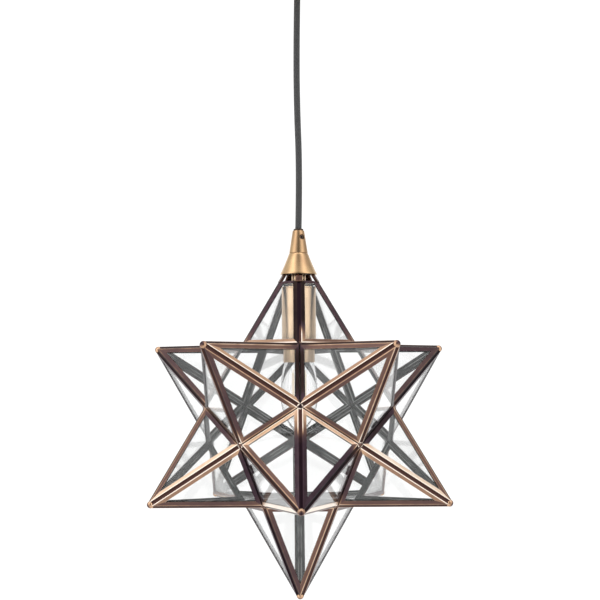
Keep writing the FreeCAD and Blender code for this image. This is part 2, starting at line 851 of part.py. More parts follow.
def bulb_cap():
    """The screw cap: a flared skirt at the glass, then the threaded barrel."""
    return turned([(0, bulb_top_z), (skirt_radius, bulb_top_z), (skirt_radius, bulb_top_z + skirt_band),
                   (cap_radius, bulb_top_z + skirt_height), (cap_radius, barrel_top_z), (0, barrel_top_z)])


def filaments():
    """Four sticks round the stem, each with its lead wire to the stem's foot."""
    high = bulb_top_z - stem_height
    sticks = []
    for angle in (0, 90, 180, 270):
        end = polar(filament_spread, angle, high)
        stick = Part.makeCylinder(filament_radius, filament_length, end - Vector(0, 0, filament_length))
        bend = end + Vector(0, 0, lead_rise)
        inner = polar(stem_radius + lead_gap, angle, high + lead_rise)
        lead = rod(end, bend, lead_radius).fuse(Part.makeSphere(lead_radius, bend))
        sticks.append(stick.fuse(lead).fuse(rod(bend, inner, lead_radius)).removeSplitter())
    return sticks


def build_bulb():
    save("bulb_glass", [bulb_glass()])
    save("bulb_cap", [bulb_cap()])
    insulator = Part.makeCone(cap_radius - insulator_step, contact_radius + insulator_step,
                              insulator_height, Vector(0, 0, barrel_top_z))
    save("bulb_insulator", [insulator])
    save("bulb_contact", [disc(contact_radius, cap_top_z - contact_height, contact_height)])
    save("bulb_stem", [disc(stem_radius, bulb_top_z - stem_height, stem_height)])
    save("bulb_filaments", filaments())


os.makedirs("parts", exist_ok=True)
build_canopy()
build_suspension()
build_holder()
build_bulb()
build_star()
print("star centre", round(star_z, 3), "edge", round(edge, 3), "lowest", round(star_z - star_radius, 3))
print("bulb axis heights", round(bulb_bottom_z, 2), round(bulb_top_z, 2), round(cap_top_z, 2))
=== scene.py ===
import bmesh
import bpy
import math
from mathutils import Matrix, Vector


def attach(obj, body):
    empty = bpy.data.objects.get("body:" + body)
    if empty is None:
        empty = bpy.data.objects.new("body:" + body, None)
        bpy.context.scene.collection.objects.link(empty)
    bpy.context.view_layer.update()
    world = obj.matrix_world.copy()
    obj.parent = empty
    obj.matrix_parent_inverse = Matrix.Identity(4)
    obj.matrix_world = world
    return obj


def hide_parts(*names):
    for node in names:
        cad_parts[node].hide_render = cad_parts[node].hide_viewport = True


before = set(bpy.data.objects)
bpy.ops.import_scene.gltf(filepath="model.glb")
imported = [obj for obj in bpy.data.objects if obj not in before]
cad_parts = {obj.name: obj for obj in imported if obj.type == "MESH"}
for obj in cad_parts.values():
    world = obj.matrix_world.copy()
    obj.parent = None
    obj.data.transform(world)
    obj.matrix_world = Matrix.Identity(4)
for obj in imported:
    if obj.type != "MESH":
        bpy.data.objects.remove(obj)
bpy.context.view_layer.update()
print("frame loaded,", len(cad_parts), "nodes")

metresPerMm = 0.001
bpy.context.scene.view_settings.view_transform = "Standard"


# meshes are drawn in millimetres, in the frame's own place, and scaled to metres at the end

def polar(radius, angle, height=0.0):
    turn = math.radians(angle)
    return Vector((radius * math.cos(turn), radius * math.sin(turn), height))


def place(bm, name, body, material, replaced=(), sharp=35):
    bmesh.ops.scale(bm, vec=(metresPerMm,) * 3, verts=bm.verts)
    mesh = bpy.data.meshes.new(name)
    bm.to_mesh(mesh)
    bm.free()
    mesh.shade_smooth()
    mesh.set_sharp_from_angle(angle=math.radians(sharp))
    mesh.materials.append(material)
    piece = bpy.data.objects.new(name, mesh)
    bpy.context.scene.collection.objects.link(piece)
    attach(piece, body)
    if replaced:
        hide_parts(*replaced)
    return piece


def lathe(profile, steps=96, rounding=0.0, roundSteps=2):
    bm = bmesh.new()
    points = [bm.verts.new((radius, 0, height)) for radius, height in profile]
    for first, second in zip(points, points[1:] + points[:1]):
        bm.edges.new((first, second))
    bmesh.ops.spin(bm, geom=bm.verts[:] + bm.edges[:], cent=(0, 0, 0), axis=(0, 0, 1), angle=2 * math.pi,
                   steps=steps, use_merge=True)
    bmesh.ops.remove_doubles(bm, verts=bm.verts[:], dist=0.001)
    bmesh.ops.recalc_face_normals(bm, faces=bm.faces[:])
    if rounding:
        corners = [e for e in bm.edges if e.is_manifold and e.calc_face_angle() > math.radians(30)]
        bmesh.ops.bevel(bm, geom=corners, affect="EDGES", offset=rounding, offset_type="OFFSET",
                        segments=roundSteps, profile=0.5, material=-1)
    return bm


def roundBar(bm, start, end, radius, segments=24):
    along = end - start
    turn = along.to_track_quat("Z", "Y").to_matrix().to_4x4()
    matrix = Matrix.Translation((start + end) / 2) @ turn
    made = bmesh.ops.create_cone(bm, cap_ends=True, segments=segments, radius1=radius,
                                 radius2=radius, depth=along.length, matrix=matrix)
    return made["verts"]


# materials

def newMaterial(name, colour, metallic=0.0, roughness=0.5):
    material = bpy.data.materials.new(name)
    material.use_nodes = True
    tree = material.node_tree
    shader = tree.nodes["Principled BSDF"]
    shader.inputs["Base Color"].default_value = (*colour, 1)
    shader.inputs["Metallic"].default_value = metallic
    shader.inputs["Roughness"].default_value = roughness
    return material, tree, shader


def addNode(tree, kind, inputs=None, **settings):
    node = tree.nodes.new(kind)
    for key, value in settings.items():
        setattr(node, key, value)
    for key, value in (inputs or {}).items():
        if hasattr(value, "is_output"):
            tree.links.new(value, node.inputs[key])
        else:
            node.inputs[key].default_value = value
    return node


def objectNoise(tree, scale, detail=3.0, stretch=(1, 1, 1)):
    where = addNode(tree, "ShaderNodeTexCoord")
    mapping = addNode(tree, "ShaderNodeMapping", {"Vector": where.outputs["Object"], "Scale": stretch})
    noise = {"Vector": mapping.outputs[0], "Scale": scale, "Detail": detail}
    return addNode(tree, "ShaderNodeTexNoise", noise).outputs["Fac"]


def ramp(tree, source, stops):
    node = addNode(tree, "ShaderNodeValToRGB", {"Fac": source})
    elements = node.color_ramp.elements
    while len(elements) < len(stops):
        elements.new(0.5)
    for element, (position, colour) in zip(elements, stops):
        element.position = position
        element.color = (*colour, 1)
    return node.outputs["Color"]


def greyRamp(tree, source, stops):
    return ramp(tree, source, [(position, (level,) * 3) for position, level in stops])


def scaled(tree, source, low, high):
    return addNode(tree, "ShaderNodeMapRange", {"Value": source, "To Min": low, "To Max": high}).outputs[0]


def fromRange(tree, source, low, high):
    inputs = {"Value": source, "From Min": low, "From Max": high}
    return addNode(tree, "ShaderNodeMapRange", inputs).outputs[0]


def smoothBand(tree, source, low, high):
    return addNode(tree, "ShaderNodeMapRange", {"Value": source, "From Min": low, "From Max": high},
                   interpolation_type="SMOOTHSTEP").outputs[0]


def maths(tree, operation, first, second):
    return addNode(tree, "ShaderNodeMath", {0: first, 1: second}, operation=operation).outputs[0]


def mixed(tree, factor, first, second, blend="MIX"):
    node = addNode(tree, "ShaderNodeMix", data_type="RGBA", blend_type=blend)
    for key, value in ((0, factor), (6, first), (7, second)):
        if hasattr(value, "is_output"):
            tree.links.new(value, node.inputs[key])
        else:
            node.inputs[key].default_value = value if key == 0 else (*value, 1)
    return node.outputs[2]


def addBump(tree, shader, height, strength, distance):
    bump = addNode(tree, "ShaderNodeBump", {"Height": height, "Strength": strength, "Distance": distance})
    tree.links.new(bump.outputs[0], shader.inputs["Normal"])


# tone 0 is the darkest patina, 1 is bare bright copper. The bands lie across a strip: 0 at its ridge line,
# about a third at the flange's edge, and 1 at the middle of its inner side
cameFinish = {
    "tones": [(0.0, (0.012, 0.006, 0.009)), (0.09, (0.030, 0.018, 0.016)), (0.16, (0.050, 0.031, 0.041)),
              (0.28, (0.098, 0.060, 0.060)), (0.42, (0.165, 0.094, 0.072)), (0.62, (0.40, 0.245, 0.160)),
              (0.76, (0.56, 0.355, 0.225)), (0.90, (0.80, 0.58, 0.42)), (1.0, (0.97, 0.86, 0.75))],
    "groove": (0.055, 0.028, 0.024),
    "inside": (0.020, 0.023, 0.022),
    "insideGrey": (0.034, 0.038, 0.037),
    "insideLine": (0.34, 0.35, 0.34),
    # the lift lightens thin lines along the rolled flange edges: partly rubbed wear, partly a painted
    # highlight
    "wearAndHighlightLift": 0.48,
    "grooveBand": [(0.088, 1), (0.106, 0)],
    # where across the strip these lighter lines lie: partly rubbed wear, partly a painted highlight
    "wearAndHighlightBands": [(0.094, 0), (0.110, 1), (0.150, 1), (0.170, 0), (0.300, 0), (0.318, 0.5), (0.333, 0.5),
                  (0.345, 0)],
    "insideBand": [(0.40, 0), (0.45, 1)],
    "lineBands": [(0.74, 0), (0.78, 1), (0.81, 0), (0.95, 0), (0.975, 0.6), (1.0, 0)],
}


def makeCameMaterial():
    material, tree, shader = newMaterial("agedCopperCame", (0.17, 0.10, 0.08), 1.0, 0.34)
    across = addNode(tree, "ShaderNodeAttribute", attribute_name="across").outputs["Fac"]
    tone = addNode(tree, "ShaderNodeAttribute", attribute_name="tone").outputs["Fac"]
    third = fromRange(tree, across, 0.0, 3.0)
    clouds = objectNoise(tree, 38, 3.0)
    patina = objectNoise(tree, 190, 5.0)
    mottle = maths(tree, "ADD", scaled(tree, clouds, -0.07, 0.07), scaled(tree, patina, -0.05, 0.05))
    level = maths(tree, "ADD", tone, mottle)
    flange = ramp(tree, level, cameFinish["tones"])
    # the rolled flange edges are painted lighter: partly rubbed wear, partly a painted highlight where the
    # rounded corners catch light
    wearAndHighlight = maths(tree, "MULTIPLY", smoothBand(tree, level, 0.20, 0.44), cameFinish["wearAndHighlightLift"])
    line = ramp(tree, maths(tree, "ADD", level, wearAndHighlight), cameFinish["tones"])
    isWearAndHighlight = greyRamp(tree, third, cameFinish["wearAndHighlightBands"])
    isGroove = greyRamp(tree, third, cameFinish["grooveBand"])
    isInside = greyRamp(tree, third, cameFinish["insideBand"])
    isLine = greyRamp(tree, third, cameFinish["lineBands"])
    darkest = cameFinish["tones"][0][1]
    grooveShade = mixed(tree, smoothBand(tree, level, 0.15, 0.34), darkest, cameFinish["groove"])
    colour = mixed(tree, isWearAndHighlight, flange, line)
    colour = mixed(tree, isGroove, colour, grooveShade)
    faint = maths(tree, "MULTIPLY", isLine, smoothBand(tree, clouds, 0.42, 0.62))
    greyer = smoothBand(tree, patina, 0.35, 0.70)
    tarnish = mixed(tree, greyer, cameFinish["inside"], cameFinish["insideGrey"])
    inner = mixed(tree, faint, tarnish, cameFinish["insideLine"])
    colour = mixed(tree, isInside, colour, inner)
    tree.links.new(colour, shader.inputs["Base Color"])
    tree.links.new(scaled(tree, patina, 0.24, 0.40), shader.inputs["Roughness"])
    addBump(tree, shader, objectNoise(tree, 600, 4.0), 0.10, 0.0004)
    return material


def makeMetal(name, colour, darker, roughness, scale=180, stretch=(1, 1, 1), bump=0.08, metallic=1.0,
              detail=4.0):
    material, tree, shader = newMaterial(name, colour, metallic, roughness)
    grain = objectNoise(tree, scale, detail, stretch)
    shade = ramp(tree, grain, [(0.32, darker), (0.66, colour)])
    tree.links.new(shade, shader.inputs["Base Color"])
    tree.links.new(scaled(tree, grain, roughness + 0.08, roughness - 0.06), shader.inputs["Roughness"])
    addBump(tree, shader, objectNoise(tree, scale * 6, 3.0, stretch), bump, 0.0003)
    return material


def makeBrassWithPaintedStreaks(name, light, middle, dark, roughness):
    material, tree, shader = newMaterial(name, middle, 1.0, roughness)
    # broad vertical light and dark streaks: partly tarnish that varies, partly a painted reflection of the
    # soft boxes
    tarnishAndReflectionStreaks = objectNoise(tree, 70, 2.0, (1, 1, 0.12))
    grain = objectNoise(tree, 90, 1.0, (1, 1, 8))
    blend = maths(tree, "ADD", scaled(tree, tarnishAndReflectionStreaks, -0.25, 1.05), scaled(tree, grain, -0.06, 0.06))
    shade = ramp(tree, blend, [(0.22, dark), (0.45, middle), (0.66, light)])
    tree.links.new(shade, shader.inputs["Base Color"])
    tree.links.new(scaled(tree, tarnishAndReflectionStreaks, roughness + 0.05, roughness - 0.03), shader.inputs["Roughness"])
    return material


def makeGlass(name, colour, roughness, wave):
    material, tree, shader = newMaterial(name, colour, 0.0, roughness)
    shader.inputs["Transmission Weight"].default_value = 1.0
    shader.inputs["IOR"].default_value = 1.52
    clearer = tuple(min(1, c * 1.015) for c in colour)
    tint = ramp(tree, objectNoise(tree, 9, 2.0), [(0.3, colour), (0.7, clearer)])
    tree.links.new(tint, shader.inputs["Base Color"])
    addBump(tree, shader, objectNoise(tree, 24, 1.0), wave, 0.0006)
    return material


def makePlain(name, colour, darker, roughness, scale=260, bump=0.1):
    return makeMetal(name, colour, darker, roughness, scale, (1, 1, 1), bump, 0.0)


def makeGlowing(name, colour, darker, roughness, glow, strength):
    material = makePlain(name, colour, darker, roughness, 900, 0.15)
    shader = material.node_tree.nodes["Principled BSDF"]
    shader.inputs["Emission Color"].default_value = (*glow, 1)
    shader.inputs["Emission Strength"].default_value = strength
    return material


came = makeCameMaterial()
barePost = makeMetal("darkLeg", (0.11, 0.058, 0.042), (0.035, 0.020, 0.019), 0.27, 260)
brass = makeMetal("satinBrass", (0.70, 0.505, 0.325), (0.65, 0.46, 0.29), 0.32, 45, (1, 1, 2), 0.0,
                  detail=1.0)
# the cone's brass carries painted reflection streaks as well as its brushed grain
coneBrass = makeBrassWithPaintedStreaks("brushedBrassPaintedReflection", (0.64, 0.45, 0.245), (0.55, 0.37, 0.20), (0.43, 0.27, 0.15),
                              0.26)
bronze = makeMetal("darkBronze", (0.10, 0.072, 0.055), (0.05, 0.038, 0.032), 0.42)
steel = makeMetal("zincSteel", (0.62, 0.62, 0.60), (0.48, 0.48, 0.47), 0.36)
nickel = makeMetal("nickelledBrass", (0.74, 0.71, 0.64), (0.60, 0.57, 0.50), 0.28)
paneGlass = makeGlass("clearPane", (0.937, 0.940, 0.938), 0.0, 0.02)
bulbGlass = makeGlass("bulbGlass", (0.985, 0.988, 0.988), 0.0, 0.01)
ceramic = makePlain("glazedCeramic", (0.82, 0.80, 0.76), (0.76, 0.74, 0.70), 0.30, 120, 0.03)
terminalPlastic = makePlain("blockPlastic", (0.80, 0.79, 0.75), (0.74, 0.73, 0.69), 0.48, 300, 0.08)
blackGlass = makePlain("blackGlass", (0.02, 0.02, 0.022), (0.012, 0.012, 0.014), 0.20, 200, 0.02)
# the filament sticks glow faintly, a painted light on their cream coat, though the bulb is not lit
filamentCoatPaintedGlow = makeGlowing("filamentCoatPaintedGlow", (0.98, 0.86, 0.60), (0.95, 0.80, 0.50), 0.65,
                           (1.0, 0.88, 0.74), 0.6)
coreSleeve = makePlain("coreSleeve", (0.10, 0.10, 0.11), (0.06, 0.06, 0.065), 0.55, 400, 0.06)


# camera, at the photograph's place: it looks slightly up at the star from in front

camera = {"lens": 93.57, "sensor": 36, "ahead": 1.4417, "above": 0.0280, "lookUp": 3.437, "turn": 0.503,
          "aim": 0.531, "roll": 0.292}
star = {"radius": 160.0, "height": -467.6, "sides": 5, "foldAngle": 116.565}


def makeCamera():
    data = bpy.data.cameras.new("photoCamera")
    data.lens = camera["lens"]
    data.sensor_width = camera["sensor"]
    holder = bpy.data.objects.new("photoCamera", data)
    turn = math.radians(camera["turn"])
    holder.location = (-camera["ahead"] * math.sin(turn), -camera["ahead"] * math.cos(turn),
                       star["height"] * metresPerMm + camera["above"])
    holder.rotation_euler = [math.radians(a) for a in (90 + camera["lookUp"], camera["roll"], -camera["aim"])]
    bpy.context.scene.collection.objects.link(holder)
    bpy.context.scene.camera = holder


makeCamera()
print("camera placed")


# cord

cord = {"low": -287.0, "points": [(0.0, 0.0), (54.0, 1.3), (117.0, -0.9), (173.0, -1.0), (222.0, 0.0)],
        "diameter": 6.0, "length": 0.222, "braidTurns": 9, "braidRows": 150,
        "braidGrooveShade": [(0.25, (0.013, 0.013, 0.0135)), (0.95, (0.062, 0.062, 0.064))],
        "speckle": [(0.35, 0.75), (0.70, 1.25)]}


def makeCordMaterial():
    material, tree, shader = newMaterial("wovenCord", (0.065, 0.07, 0.072), 0.0, 0.78)
    where = addNode(tree, "ShaderNodeTexCoord").outputs["UV"]
    parts = addNode(tree, "ShaderNodeSeparateXYZ", {"Vector": where})
    rows = maths(tree, "MULTIPLY", parts.outputs[0], 2 * math.pi * cord["braidRows"])
    turns = maths(tree, "MULTIPLY", parts.outputs[1], 2 * math.pi * cord["braidTurns"])
    waves = []
    for how in ("ADD", "SUBTRACT"):
        angle = maths(tree, how, rows, turns)
        waves.append(addNode(tree, "ShaderNodeMath", {0: angle}, operation="SINE").outputs[0])
    raised = fromRange(tree, maths(tree, "MAXIMUM", waves[0], waves[1]), -1.0, 1.0)
    fuzz = objectNoise(tree, 900, 4.0)
    # the braid is painted darker in its grooves than on its raised threads: painted shade
    shade = ramp(tree, raised, cord["braidGrooveShade"])
    speckle = greyRamp(tree, fuzz, cord["speckle"])
    tree.links.new(mixed(tree, 1.0, shade, speckle, "MULTIPLY"), shader.inputs["Base Color"])
    shader.inputs["Sheen Weight"].default_value = 0.25
    shader.inputs["Sheen Roughness"].default_value = 0.5
    addBump(tree, shader, raised, 0.6, 0.0003)
    return material


def makeCord():
    data = bpy.data.curves.new("wovenSuspensionCord", "CURVE")
    data.dimensions = "3D"
    data.bevel_depth = cord["diameter"] / 2 * metresPerMm
    data.bevel_resolution = 8
    data.resolution_u = 24
    data.use_fill_caps = True
    line = data.splines.new("NURBS")
    line.points.add(len(cord["points"]) - 1)
    for point, (rise, lean) in zip(line.points, cord["points"]):
        point.co = (lean * metresPerMm, 0, (cord["low"] + rise) * metresPerMm, 1)
    line.order_u = 3
    line.use_endpoint_u = True
    data.materials.append(makeCordMaterial())
    piece = bpy.data.objects.new("wovenSuspensionCord", data)
    bpy.context.scene.collection.objects.link(piece)
    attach(piece, "pendant")
    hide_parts("suspension_cord")


makeCord()
print("cord made")


# the star's geometry

sides = star["sides"]
sector = 360.0 / sides
halfSector = sector / 2
# how high a tip stands on its spike's base, and how deep that base lies, for an edge of 1
tipRatio = math.sqrt((5 + 2 * math.sqrt(5)) / 5)
depthRatio = 0.5 * math.sqrt((25 + 11 * math.sqrt(5)) / 10)
edge = star["radius"] / (tipRatio + depthRatio)
tipHeight = tipRatio * edge
faceDepth = depthRatio * edge
cornerRadius = edge / 2 / math.sin(math.radians(halfSector))
halfFold = math.radians(star["foldAngle"] / 2)


def tipDirections():
    # the lower spike 0 points at the camera, on -Y
    height = 1 / math.sqrt(5)
    tips = {"top": Vector((0, 0, 1)), "bottom": Vector((0, 0, -1))}
    for k in range(sides):
        tips["upper", k] = polar(2 * height, halfSector + sector * k - 90, height)
        tips["lower", k] = polar(2 * height, sector * k - 90, -height)
    return tips


tips = tipDirections()


def spikeMatrix(spike, neighbours):
    # puts a spike on the star, with its ridge 0 at the corner that it shares with two neighbours
    axis = tips[spike]
    corner = tips[neighbours[0]] + tips[neighbours[1]] + axis
    forward = (corner - axis * corner.dot(axis)).normalized()
    side = axis.cross(forward)
    base = axis * faceDepth + Vector((0, 0, star["height"]))
    matrix = Matrix((forward, side, axis)).transposed().to_4x4()
    matrix.translation = base
    return matrix


cameShape = {
    "topCut": 2.4, "gap": 0.05, "doorGap": 0.35, "jointReach": 18.0, "baseJointLift": 0.12,
    "ridgeSteps": 24, "ridgeSpare": (12.0, 4.0), "baseSteps": 16, "baseSpare": 6.0,
    # the tip beads are pale, partly solder and partly a painted highlight, and turn dark within 4.4 mm of
    # their tips
    "beadRadius": 3.3, "beadFoot": 6.6, "beadSolderAndPaintedLightTones": (0.76, 0.76, 0.08, 0.08, 4.4), "flangeAcross": 0.7,
    "ringBelowTip": 29.0, "ringDepth": 2.4, "ringInset": 4.9, "ringTone": 0.20,
}

# half of a ridge came seen from its end, each point with its across value: first (sideways, outward) from the
# ridge line, then (along the pane, off the pane). The base came's points are all of the second kind
ridgeCrest = [(0.0, 0.20, 0.0), (0.7, 0.25, 0.1), (1.35, 0.42, 0.2), (1.7, 0.62, 0.28), (2.0, 0.70, 0.34)]
flangeOutside = [(1.4, 1.66, 0.42), (2.1, 1.62, 0.5), (4.5, 1.60, 0.85), (5.1, 1.57, 0.92),
                 (5.28, 1.51, 0.97), (5.32, 1.4, 1.0)]
channel = [(2.5, 1.4, 1.2), (2.5, -1.4, 1.2)]
flangeInside = [(5.1, -1.4, 2.0), (5.06, -1.52, 2.02), (4.9, -1.60, 2.05), (4.3, -1.64, 2.1),
                (1.6, -1.72, 2.5), (0.4, -1.95, 2.8)]
ridgeInnerCrest = (0.0, -2.5, 2.95)
baseOutside = [(0.62, 1.0, 0.0), (0.95, 1.2, 0.12), (1.3, 1.5, 0.26), (1.62, 1.66, 0.36), (2.0, 1.66, 0.43),
               (2.5, 1.62, 0.5), (4.5, 1.60, 0.85), (5.1, 1.57, 0.92), (5.28, 1.51, 0.97), (5.32, 1.4, 1.0)]
baseInside = [(5.1, -1.4, 2.0), (5.06, -1.52, 2.02), (4.9, -1.60, 2.05), (4.3, -1.64, 2.1), (1.0, -1.72, 2.5),
              (-0.72, -1.72, 2.8), (-1.0, -1.6, 2.9)]


def extruded(section, direction, length, steps, loop):
    # a strip drawn from its end section and pulled along
    bm = bmesh.new()
    layer = bm.verts.layers.float.new("across")
    points = []
    for where, across in section:
        point = bm.verts.new(where)
        point[layer] = across
        points.append(point)
    following = points[1:] + points[:1] if loop else points[1:]
    line = [bm.edges.new(pair) for pair in zip(points, following)]
    for step in range(steps):
        made = bmesh.ops.extrude_edge_only(bm, edges=line)["geom"]
        line = [g for g in made if isinstance(g, bmesh.types.BMEdge) and all(v in made for v in g.verts)]
        bmesh.ops.translate(bm, vec=direction * length / steps,
                            verts=[g for g in made if isinstance(g, bmesh.types.BMVert)])
    return bm


def trimmed(bm, point, outward):
    # cuts off all that lies past a plane
    bmesh.ops.bisect_plane(bm, geom=bm.verts[:] + bm.edges[:] + bm.faces[:], dist=0.0001, plane_co=point,
                           plane_no=outward, clear_outer=True)


def closed(bm):
    # joins the seams and fills the cut ends
    bmesh.ops.remove_doubles(bm, verts=bm.verts[:], dist=0.002)
    bmesh.ops.holes_fill(bm, edges=[e for e in bm.edges if e.is_boundary], sides=0)
    bmesh.ops.recalc_face_normals(bm, faces=bm.faces[:])
    return bm


def startCame():
    bm = bmesh.new()
    bm.verts.layers.float.new("across")
    bm.verts.layers.float.new("tone")
    return bm


def merged(target, source, matrix, tones, ends=()):
    # adds a copy of source, turned by matrix, to target. The tones are those of its two sides and of its end
    # at the joint, or of its two sides, of their two ends, and how far the ends reach
    mesh = bpy.data.meshes.new("part")
    source.to_mesh(mesh)
    before = len(target.verts)
    target.from_mesh(mesh)
    bpy.data.meshes.remove(mesh)
    layer = target.verts.layers.float.get("tone") or target.verts.layers.float.new("tone")
    target.verts.ensure_lookup_table()
    for vert in target.verts[before:]:
        tone = tones[0] if vert.co.y < 0 else tones[1]
        for end in ends:
            reach = tones[4] if len(tones) > 4 else cameShape["jointReach"]
            goal = tones[3] if len(tones) > 3 and vert.co.y >= 0 else tones[2]
            share = max(0.0, 1 - (vert.co - end).length / reach)
            tone += (goal - tone) * share * share * (3 - 2 * share)
        vert[layer] = tone
        vert.co = matrix @ vert.co


corner = Vector((cornerRadius, 0, 0))
nextCorner = polar(cornerRadius, sector)
tip = Vector((0, 0, tipHeight))
centre = Vector((0, 0, -faceDepth))
ridgeUp = (tip - corner).normalized()
ridgeSide = Vector((0, 1, 0))
ridgeOut = Vector((ridgeUp.z, 0, -ridgeUp.x))
paneAway = ridgeSide * math.sin(halfFold) - ridgeOut * math.cos(halfFold)  # off the ridge, in pane 0
paneOut = ridgeSide * math.cos(halfFold) + ridgeOut * math.sin(halfFold)
halfMitre = math.radians(halfSector)
mitreOut = paneAway * math.cos(halfMitre) - ridgeUp * math.sin(halfMitre)
edgeMiddle = (corner + nextCorner) / 2
edgeAlong = (nextCorner - corner).normalized()
paneUp = (tip - edgeMiddle).normalized()
spaceOut = (nextCorner - centre).cross(corner - centre).normalized()
if spaceOut.dot(tip - centre) > 0:
    spaceOut = -spaceOut
mirrorAcrossRidge = Matrix.Diagonal((1, -1, 1, 1))


def mirroredInPane(direction):
    turnBack = Matrix.Rotation(math.radians(-halfSector), 3, "Z") @ direction
    return Matrix.Rotation(math.radians(halfSector), 3, "Z") @ (mirrorAcrossRidge.to_3x3() @ turnBack)


def ridgeCame(cut, gap):
    section = [(ridgeSide * a + ridgeOut * b, c) for a, b, c in ridgeCrest]
    section += [(paneAway * a + paneOut * b, c) for a, b, c in flangeOutside + channel + flangeInside]
    section.append((ridgeOut * ridgeInnerCrest[1], ridgeInnerCrest[2]))
    below, above = cameShape["ridgeSpare"]
    start = corner - ridgeUp * below
    section = [(start + where, across) for where, across in section]
    half = extruded(section, ridgeUp, (tip - corner).length + (below + above), cameShape["ridgeSteps"], False)
    trimmed(half, corner, mitreOut)
    trimmed(half, corner - spaceOut * gap, spaceOut)
    trimmed(half, Vector((0, 0, tipHeight - cut)), Vector((0, 0, 1)))
    trimmed(half, tip, edgeAlong)
    mirrored = half.copy()
    bmesh.ops.transform(mirrored, matrix=mirrorAcrossRidge, verts=mirrored.verts)
    merged(half, mirrored, Matrix(), (0, 0))
    mirrored.free()
    return closed(half)


def baseCame(gap):
    rows = [(a + gap, b, c) for a, b, c in baseOutside] + channel + baseInside[:-2]
    rows += [(a + gap, b, c) for a, b, c in baseInside[-2:]]
    spare = cameShape["baseSpare"]
    start = edgeMiddle - edgeAlong * (edge / 2 + spare)
    section = [(start + paneUp * a + paneOut * b, c) for a, b, c in rows]
    strip = extruded(section, edgeAlong, edge + 2 * spare, cameShape["baseSteps"], True)
    trimmed(strip, corner, -mitreOut)
    trimmed(strip, nextCorner, -mirroredInPane(mitreOut))
    return closed(strip)


def ringCame():
    # the strip along the cut top edge of a pane of the top spike
    lean = tipHeight / (tip - edgeMiddle).length
    top = cameShape["ringBelowTip"] / lean
    depth = cameShape["ringDepth"]
    rows = [(0.0, 1.2, 0.9), (0.25, 1.7, 0.95), (0.6, 1.75, 0.8), (depth - 0.5, 1.7, 0.7), (depth, 1.2, 1.0),
            (depth, -1.2, 2.0), (depth - 0.5, -1.8, 2.1), (0.5, -1.8, 2.4), (0.0, -1.2, 2.6)]
    reach = (top + depth) * math.tan(math.radians(halfSector / 2))
    section = [(tip - paneUp * (top + a) - edgeAlong * reach + paneOut * b, c) for a, b, c in rows]
    strip = extruded(section, edgeAlong, 2 * reach, 3, True)
    for away in (paneAway, mirroredInPane(paneAway)):
        trimmed(strip, tip + away * cameShape["ringInset"], -away)
    return closed(strip)


def tipBead():
    radius = cameShape["beadRadius"]
    bm = bmesh.new()
    bmesh.ops.create_uvsphere(bm, u_segments=32, v_segments=24, radius=radius)
    bmesh.ops.translate(bm, vec=(0, 0, tipHeight - radius), verts=bm.verts)
    trimmed(bm, Vector((0, 0, tipHeight - cameShape["beadFoot"])), Vector((0, 0, -1)))
    layer = bm.verts.layers.float.new("across")
    for vert in bm.verts:
        vert[layer] = cameShape["flangeAcross"]
    return closed(bm)


# tones of the five ridges, from ridge 0 on, as merged() takes them, then those of the five base strips. They
# are set strip by strip, lighter or darker as light falls on each strip and lighter towards some joints:
# painted highlight and painted shade, besides patina that varies
patinaAndPaintedLightTones = {
    "front_left_upper": ([(0.32, 0.27, 0.64), (0.36, 0.70, 0.72), (0.40, 0.54, 0.22), (0.76, 0.3, 0.5),
                          (0.12, 0.0, 0.1)], [0.34, 0.07, 0.38, 0.3, 0.35]),
    "front_right_upper": ([(0.38, 0.40, 0.62), (0.0, 0.12, 0.1), (0.3, 0.40, 0.4), (0.42, 0.36, 0.22),
                           (0.60, 0.35, 0.70)], [0.20, 0.40, 0.30, 0.07, 0.33]),
    "front_lower": ([(0.15, 0.17, 0.92, 0.92, 38), (0.36, 0.28, 0.66), (1.0, 1.0, 0.9), (1.0, 1.0, 0.9),
                     (0.20, 0.17, 0.55)], [0.78, 0.20, 0.33, 0.22, 0.81]),
    "left_lower": ([(0.36, 0.38, 0.45), (0.2, 0.2, 0.3), (0.30, 0.36, 0.4), (0.36, 0.32, 0.42),
                    (0.55, 0.90, 0.85)], [0.30, 0.30, 0.33, 0.16, 0.22]),
    "right_lower": ([(0.38, 0.38, 0.45), (0.94, 0.54, 0.85), (0.32, 0.36, 0.42), (0.33, 0.36, 0.4),
                     (0.2, 0.2, 0.3)], [0.12, 0.22, 0.30, 0.30, 0.17]),
    "bottom": ([(0.33, 0.40, 0.42), (0.28, 0.17, 0.36), (0.0, 0.15, 0.1), (0.30, 0.25, 0.3), (0.2, 0.0, 0.1)],
               [0.29, 0.25, 0.30, 0.30, 0.25]),
    "top": ([(0.06, 0.06, 0.10, 0.74, 30), (0.22, 0.24, 0.4), (0.30, 0.22, 0.4), (0.35, 0.30, 0.4),
             (0.18, 0.20, 0.4)], [0.44, 0.30, 0.28, 0.32, 0.60]),
    "right_upper": ([(0.0, 0.12, 0.1), (0.30, 0.34, 0.4), (0.28, 0.24, 0.4), (0.32, 0.24, 0.4),
                     (0.28, 0.15, 0.3)], [0.30, 0.28, 0.34, 0.30, 0.26]),
    "left_upper": ([(0.12, 0.0, 0.1), (0.20, 0.28, 0.36), (0.30, 0.26, 0.4), (0.24, 0.30, 0.4),
                    (0.34, 0.28, 0.4)], [0.30, 0.32, 0.28, 0.34, 0.30]),
    "others": ([(0.30, 0.24, 0.5), (0.36, 0.30, 0.6), (0.22, 0.26, 0.4), (0.30, 0.40, 0.6),
                (0.26, 0.33, 0.5)], [0.28, 0.34, 0.24, 0.31, 0.27]),
}


